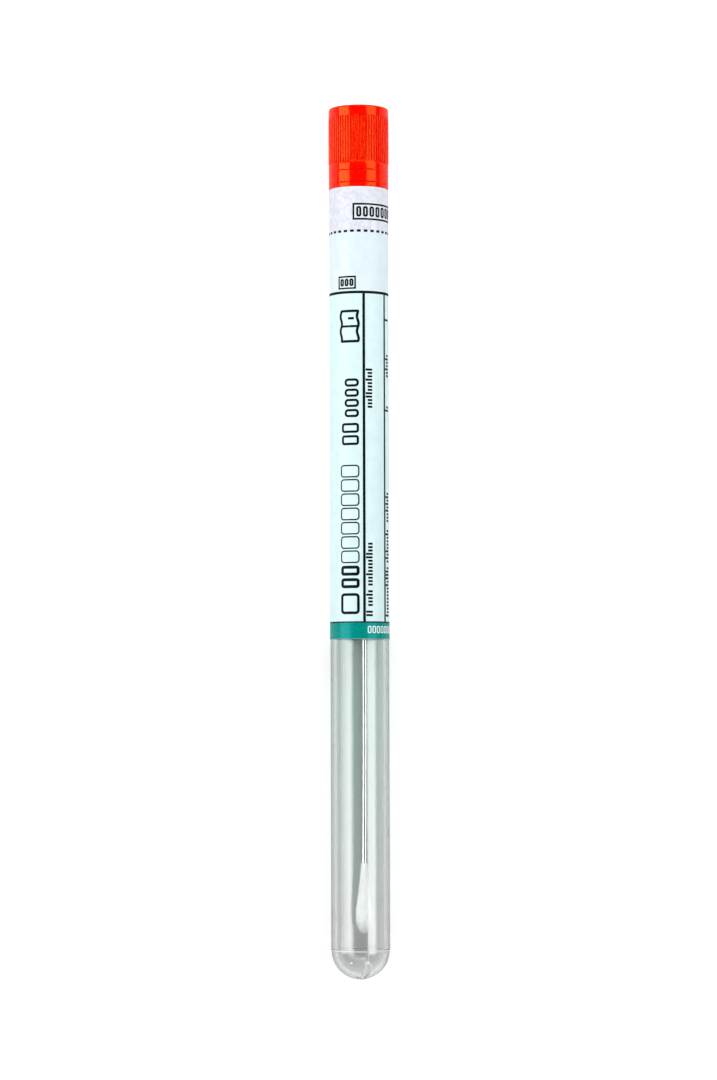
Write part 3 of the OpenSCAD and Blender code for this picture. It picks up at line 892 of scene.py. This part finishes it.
def patch(x0, x1, z0, z1, material):
    """A field of print on the label, closed all round. x runs from the front to the right."""
    a0, a1 = degrees_for(x0), degrees_for(x1)
    cols = max(1, ceil(abs(a1 - a0) / 1.5))
    rows = max(1, ceil((z1 - z0) / 6))
    verts, faces = [], []
    for r in (LABEL_R + LIFT, LABEL_R + LIFT + INK):
        verts += [place(r, a0 + (a1 - a0) * i / cols, z0 + (z1 - z0) * j / rows)
                  for j in range(rows + 1) for i in range(cols + 1)]
    w, layer = cols + 1, (cols + 1) * (rows + 1)
    for j in range(rows):
        for i in range(cols):
            a, b, c, d = j * w + i, j * w + i + 1, (j + 1) * w + i + 1, (j + 1) * w + i
            faces += [(layer + a, layer + b, layer + c, layer + d), (d, c, b, a)]
    edges = [(i, i + 1) for i in range(cols)] + [(rows * w + i + 1, rows * w + i) for i in range(cols)]
    for j in range(rows):
        edges += [((j + 1) * w, j * w), (j * w + cols, (j + 1) * w + cols)]
    faces += [(a, b, layer + b, layer + a) for a, b in edges]
    return make("patch", verts, faces, material)


def ring_field(z0, z1, material):
    """A printed ring all the way round, over the lap too."""
    steps, verts = 360, []
    for r in (LIFT, LIFT + INK):
        for z in (z0, z1):
            for turn in (LAP_TO + i for i in range(steps)):
                raised = LABEL_T if turn > LAP_FROM + 359 else LABEL_T * climbed(turn)
                verts.append(place(LABEL_R + raised + r, turn, z))
    return make("ring", verts, outline_faces(steps), material)


def square_frame(x0, x1, z0, z1, w):
    """A printed box of four strokes, w wide."""
    strokes = [(x0, x1, z0, z0 + w), (x0, x1, z1 - w, z1)]
    strokes += [(x0, x0 + w, z0 + w, z1 - w), (x1 - w, x1, z0 + w, z1 - w)]
    return [patch(*stroke, DARK) for stroke in strokes]


def rounded_path(x0, x1, z0, z1, r):
    """Points around a box with corners of radius r: the centre of the rounding, and the way out from it."""
    corners = [(x1 - r, z1 - r, 0), (x0 + r, z1 - r, 90), (x0 + r, z0 + r, 180), (x1 - r, z0 + r, 270)]
    outline = []
    for cx, cz, start in corners:
        turns = [radians(start + 90 * k / 8) for k in range(9)]
        outline += [(cx, cz, cos(a), sin(a)) for a in turns]
    fine = []
    for here, there in zip(outline, outline[1:] + outline[:1]):
        wide = abs((here[0] + r * here[2]) - (there[0] + r * there[2]))
        parts = max(1, ceil(max(wide, 0.01) / 0.25))
        fine += [tuple(p + (q - p) * (k / parts) for p, q in zip(here, there)) for k in range(parts)]
    return fine


def rounded_frame(x0, x1, z0, z1, w, r, material=DARK, lift=LIFT):
    """A printed box with round corners, w wide."""
    path, verts = rounded_path(x0, x1, z0, z1, r), []
    for radius in (LABEL_R + lift, LABEL_R + lift + INK):
        for reach in (r, r - w):
            verts += [place(radius, degrees_for(cx + reach * ca), cz + reach * sa) for cx, cz, ca, sa in path]
    return make("outline", verts, outline_faces(len(path)), material)


def frames_up(count, foot, pitch, tall, x0, x1, w, r):
    """Rounded frames one above the other."""
    feet = [foot + i * pitch for i in range(count)]
    return [rounded_frame(x0, x1, z, z + tall, w, r) for z in feet]


def frames_across(count, start, pitch, wide, z0, z1, w, r, **look):
    """Rounded frames side by side."""
    sides = [start + i * pitch for i in range(count)]
    return [rounded_frame(x, x + wide, z0, z1, w, r, **look) for x in sides]


def ribbon(points, w):
    """A closed printed outline through points on the label, w wide."""
    sides = []
    for i, (x, z) in enumerate(points):
        ax, az = points[i - 1]
        bx, bz = points[(i + 1) % len(points)]
        away = Vector((bz - az, ax - bx)).normalized() * (w / 2)
        sides.append(((x + away.x, z + away.y), (x - away.x, z - away.y)))
    verts = []
    for r in (LABEL_R + LIFT, LABEL_R + LIFT + INK):
        for side in (0, 1):
            verts += [place(r, degrees_for(pair[side][0]), pair[side][1]) for pair in sides]
    return make("ribbon", verts, outline_faces(len(points)), DARK)


def wavy_box(x0, x1, z0, z1, w):
    """An outline with straight ends and wavy sides."""
    steps, ends = 28, 14
    wave = [0.16 * sin(4 * pi * k / steps + 0.6) for k in range(steps + 1)]
    right = [(x1 + wave[k], z0 + (z1 - z0) * k / steps) for k in range(steps + 1)]
    left = [(x0 + wave[k], z0 + (z1 - z0) * k / steps) for k in range(steps, -1, -1)]
    top = [(x1 + (x0 - x1) * k / ends, z1) for k in range(1, ends)]
    foot = [(x0 + (x1 - x0) * k / ends, z0) for k in range(1, ends)]
    return ribbon(right + top + left + foot, w)


def word_tree():
    """A row of small upright strokes, as wide as a line of small words, wrapped on the label."""
    inputs = [("Count", INT, 20), ("Seed", INT, 1), ("Step", FLOAT, 0.00045), ("Stroke", FLOAT, 0.0002),
              ("Height", FLOAT, 0.0012), ("Base X", FLOAT, 0.0), ("Start Y", FLOAT, 0.0),
              ("Radius", FLOAT, 0.006), ("Axis Height", FLOAT, 0.0061), ("Ink", FLOAT, 0.00001),
              ("Gap Share", FLOAT, 0.1)]
    t = Tree("Row of strokes", inputs)
    first = t.xyz(t.ins["Base X"], t.ins["Start Y"], 0)
    step = t.xyz(0, t.ins["Step"], 0)
    values = {"Count": t.ins["Count"], "Start Location": first, "Offset": step}
    line = t.one("GeometryNodeMeshLine", values)
    gap = t.math("LESS_THAN", t.random(0.0, 1.0), t.ins["Gap Share"])
    line = t.one("GeometryNodeDeleteGeometry", {0: line, 1: gap}, domain="POINT")
    # a few strokes stand taller than the rest
    tall = t.math("GREATER_THAN", t.random(0.0, 1.0, t.math("ADD", t.ins["Seed"], 31.0)), 0.72)
    share = t.math("ADD", t.math("MULTIPLY", tall, 0.30), 0.70)
    tallness = t.math("MULTIPLY", t.ins["Height"], share)
    bar = t.one("GeometryNodeMeshCube", {"Size": (1, 1, 1), "Vertices X": 4})
    moved = t.one("GeometryNodeTransform", {0: bar, "Translation": (-0.5, 0, 0.5)})
    scale = t.xyz(tallness, t.ins["Stroke"], t.ins["Ink"])
    bars = t.one("GeometryNodeInstanceOnPoints", {"Points": line, "Instance": moved, "Scale": scale})
    flat = t.one("GeometryNodeRealizeInstances", {0: bars})
    # the flat row is then wrapped around the label
    at = t.one("GeometryNodeInputPosition")
    xyz = t.add("ShaderNodeSeparateXYZ", {0: at}).outputs
    angle = t.math("DIVIDE", xyz[0], t.ins["Radius"])
    reach = t.math("ADD", t.ins["Radius"], xyz[2])
    x = t.math("MULTIPLY", reach, t.math("SINE", angle))
    z = t.math("ADD", t.math("MULTIPLY", reach, t.math("COSINE", angle)), t.ins["Axis Height"])
    wrapped = t.xyz(x, xyz[1], z)
    t.end(t.one("GeometryNodeSetPosition", {0: flat, "Position": wrapped}))
    return t


WORDS = word_tree()


def words(x, z, length, seed):
    """Small words beside a line: their foot at x, from height z up the tube."""
    step, stroke, height, gaps = 0.68, 0.42, 1.4, 0.08
    values = dict(
        Count=max(2, round(length / step)), Seed=seed, Step=step * MM, Stroke=stroke * MM, Height=height * MM,
        Base_X=x * MM, Start_Y=END_Y + z * MM, Radius=(LABEL_R + LIFT) * MM, Axis_Height=AXIS_Z, Ink=INK * MM,
        Gap_Share=gaps, Material=DARK,
    )
    return grown("words", make("words", [(0, 0, 0)], []), WORDS, **values)


def dash_ring(z0, z1):
    """Half of the printed tear line: one dash at the front, repeated around outside the lap."""
    one, skip = centred(patch(-DASH / 2, DASH / 2, z0, z1, DARK)), degrees_for(DASH)
    values = dict(Count=DASHES, Skip_From=LAP_FROM - skip, Skip_To=LAP_TO + skip)
    return grown("dashes", one, AROUND_AXIS, **values, Axis_Height=AXIS_Z, Material=DARK)


def label_lines(bold, fine, column, width):
    """The tear line's dashes, the lines around the label and the three lines along it."""
    marks = [dash_ring(149.76, 149.99), ring_field(HEAD - bold / 2, HEAD + bold / 2, DARK),
             ring_field(BAND_HIGH + 0.01, BAND_HIGH + fine, DARK)]
    for i in range(3):
        x = column + i * width
        marks.append(patch(x - bold / 2, x + bold / 2, BAND_HIGH + 0.29, HEAD - bold / 2 - 0.01, DARK))
    return marks


def label_marks():
    """All dark print on the tube's label, with heights from the head down or from the band up."""
    bold, fine = 0.53, 0.28
    column, width = 0.95, 5.08
    panel, panel_w = -4.0, 4.0
    top, near, far = HEAD + 0.3, column + 1.75, column + width + 1.75
    marks = label_lines(bold, fine, column, width)
    # the box over the head line
    marks += square_frame(-4.5, -0.6, top + 0.35, top + 3.0, 0.32)
    marks += frames_across(3, -3.98, 1.02, 0.83, top + 0.92, top + 2.45, 0.36, 0.38)
    # a double box with wavy sides and a short bar
    marks.append(wavy_box(panel + 0.2, panel + panel_w - 0.25, top - 10.2, top - 4.1, 0.52))
    marks.append(patch(panel + 0.35, panel + panel_w - 0.35, top - 7.4, top - 6.96, DARK))
    marks.append(patch(panel + 1.75, panel + 2.95, top - 5.82, top - 5.34, DARK))
    # a row of four rounded blocks and two wider ones
    marks += frames_up(4, top - 25.5, 2.05, 1.65, panel + 0.95, panel + 3.95, 0.48, 0.75)
    marks += frames_up(2, top - 31.1, 2.45, 2.0, panel + 0.3, panel + 3.95, 0.48, 0.6)
    # writing boxes, two heavy blocks and a tick box
    marks += frames_up(7, BAND_HIGH + 11.9, 2.86, 2.55, panel, panel + panel_w, 0.27, 0.7)
    marks += frames_up(2, BAND_HIGH + 6.9, 2.5, 2.0, panel + 0.05, panel + panel_w, 0.62, 0.65)
    marks += frames_up(1, BAND_HIGH + 1.7, 0.0, 4.2, panel, panel + panel_w, 0.55, 0.8)
    # small words: their foot, height, length and seed
    lines = [(near, top - 23.4, 8.3, 3), (near, BAND_HIGH + 1.5, 14.9, 7), (far, top - 5.6, 1.6, 9),
             (far, top - 16.9, 5.0, 12), (far, top - 23.9, 1.6, 14), (far, BAND_HIGH + 1.5, 24.9, 17)]
    return joined("label_marks", marks + [words(*line) for line in lines])


def band_marks():
    low, lift = BAND_LOW + 1.12, LIFT + INK + LIFT
    blocks = frames_across(8, 1.6, 1.0, 0.78, low, low + 1.45, 0.2, 0.3, material=WHITE, lift=lift)
    return joined("band_marks", blocks)


def seal_marks():
    marks = [dash_ring(150.01, 150.24)] + square_frame(-1.25, 9.1, TUBE_LEN + 2.2, TUBE_LEN + 5.6, 0.36)
    marks += frames_across(7, -0.5, 1.36, 1.02, TUBE_LEN + 2.85, TUBE_LEN + 4.95, 0.4, 0.42)
    return joined("seal_marks", marks)


# ---- the pieces, on their bodies ----

line = shaft_line()
label = sleeve("wrap_label", LABEL_FROM, TUBE_LEN - TEAR_GAP, LABEL, tear_high=True)
seal = sleeve("seal_label", TUBE_LEN + TEAR_GAP, SEAL_TO, SEAL, tear_low=True)
band = ring_field(BAND_LOW, BAND_HIGH, TEAL)
band.name = "teal_band"

PIECES = [
    (clear_tube(), "tube", ["tube"], "clear_plastic"),
    (moulding_flash(), "tube", ["tube"], "clear_plastic"),
    (label, "tube", ["label"], "label_film"),
    (band, "tube", ["color_band"], "band_ink"),
    (label_marks(), "tube", ["label_print"], "dark_ink"),
    (band_marks(), "tube", ["band_print"], "white_ink"),
    (ribbed_cap(), "swab", ["cap"], "cap_plastic"),
    (seal, "swab", ["label_seal"], "seal_film"),
    (seal_marks(), "swab", ["seal_print"], "dark_ink"),
    (wire_shaft(line), "swab", ["shaft"], "shaft_metal"),
    (fibre_bud(line), "swab", ["bud"], "bud_fibre"),
]
for piece, body, nodes, finish in PIECES:
    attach(piece, body)
    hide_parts(*nodes)


# ---- floor, light and camera ----

FLOOR_GLOW = (0.50, 0.0, 0.04)  # added to the floor as the camera, metal and glass see it
OPEN_FROM, OPEN_TO = 0.3, 0.7  # metres from the part between which the floor turns plain white
WORLD_GREY = 0.06  # as the part sees the studio, which is white to the camera
LAMP_DISTANCE = 1.0


def floor_finish():
    """A plain white floor that keeps its shadow. The camera and glass see it a little lighter; the share
    added for metal is nought.
    """
    f = Finish("floor", Roughness=0.9, Specular_IOR_Level=0.0)
    grain = f.group(GRAIN, Size_mm=6.0, Detail=2.0)
    f.feed("Base Color", f.mix(grain["Mask"], tint(0.74, 0.74, 0.74), tint(0.76, 0.76, 0.76)))
    path = f.add("ShaderNodeLightPath").outputs
    mirrored = f.math("SUBTRACT", path["Is Glossy Ray"], path["Is Transmission Ray"], clamp=True)
    coords = f.add("ShaderNodeTexCoord").outputs["Object"]
    away = f.add("ShaderNodeVectorMath", {0: coords}, operation="LENGTH").outputs["Value"]
    open_floor = f.spread(away, OPEN_FROM, OPEN_TO, FLOOR_GLOW[0], 1.0)
    rays = (path["Is Camera Ray"], mirrored, path["Is Transmission Ray"])
    shares = [f.math("MULTIPLY", ray, share) for ray, share in zip(rays, (open_floor,) + FLOOR_GLOW[1:])]
    glow = f.math("ADD", f.math("ADD", shares[0], shares[1]), shares[2])
    emission = f.one("ShaderNodeEmission", {"Color": tint(1, 1, 1), "Strength": glow})
    f.surface(f.one("ShaderNodeAddShader", {0: f.shader.outputs[0], 1: emission}))
    return f.material


def floor():
    half = 3.0
    corners = [(-half, -half, 0), (half, -half, 0), (half, half, 0), (-half, half, 0)]
    piece = make("floor", corners, [(0, 1, 2, 3)], floor_finish())


def softbox(name, turn, lean, wide, long, power, shift=0.0):
    """A flat lamp that faces the tube, turned from straight up to the right and leaning towards the cap."""
    lamp = bpy.data.lights.new(name, "AREA")
    lamp.shape = "RECTANGLE"
    lamp.size, lamp.size_y, lamp.energy = wide, long, power
    thing = placed(name, lamp)
    turn, lean = radians(turn), radians(lean)
    way = Vector((sin(turn) * cos(lean), sin(lean), cos(turn) * cos(lean)))
    across = Vector((0, 1, 0)).cross(way).normalized()
    thing.location = Vector((0, shift, AXIS_Z)) + way * LAMP_DISTANCE
    thing.rotation_euler = Matrix((across, way.cross(across), way)).transposed().to_euler()


def world():
    sky = bpy.data.worlds.new("studio")
    bpy.context.scene.world = sky
    sky.use_nodes = True
    back = next(x for x in sky.node_tree.nodes if x.type == "BACKGROUND")
    back.inputs["Color"].default_value = tint(1, 1, 1)
    n = Nodes(sky.node_tree)
    path = n.add("ShaderNodeLightPath").outputs["Is Camera Ray"]
    sky.node_tree.links.new(n.spread(path, 0.0, 1.0, WORLD_GREY, 1.0), back.inputs["Strength"])


def camera():
    lens = bpy.data.cameras.new("camera")
    lens.sensor_width = 36.0
    lens.lens = 107.56
    lens.clip_start, lens.clip_end = 0.01, 20.0
    thing = placed("camera", lens)
    thing.location = (-0.000217, -0.03513, 0.65584)
    turn = Matrix.Rotation(radians(3.119), 4, "X") @ Matrix.Rotation(radians(-0.156), 4, "Z")
    thing.rotation_euler = turn.to_euler()
    bpy.context.scene.camera = thing


floor()
softbox("left softbox", -58.5, 0, 0.83, 0.7, 8.8, shift=0.06)
softbox("right softbox", 50.5, 0, 0.69, 1.1, 8.5, shift=0.26)
softbox("end softbox", 0, 48, 0.9, 0.35, 4.7)
world()
camera()
bpy.context.scene.view_settings.view_transform = "Standard"

bpy.context.view_layer.update()
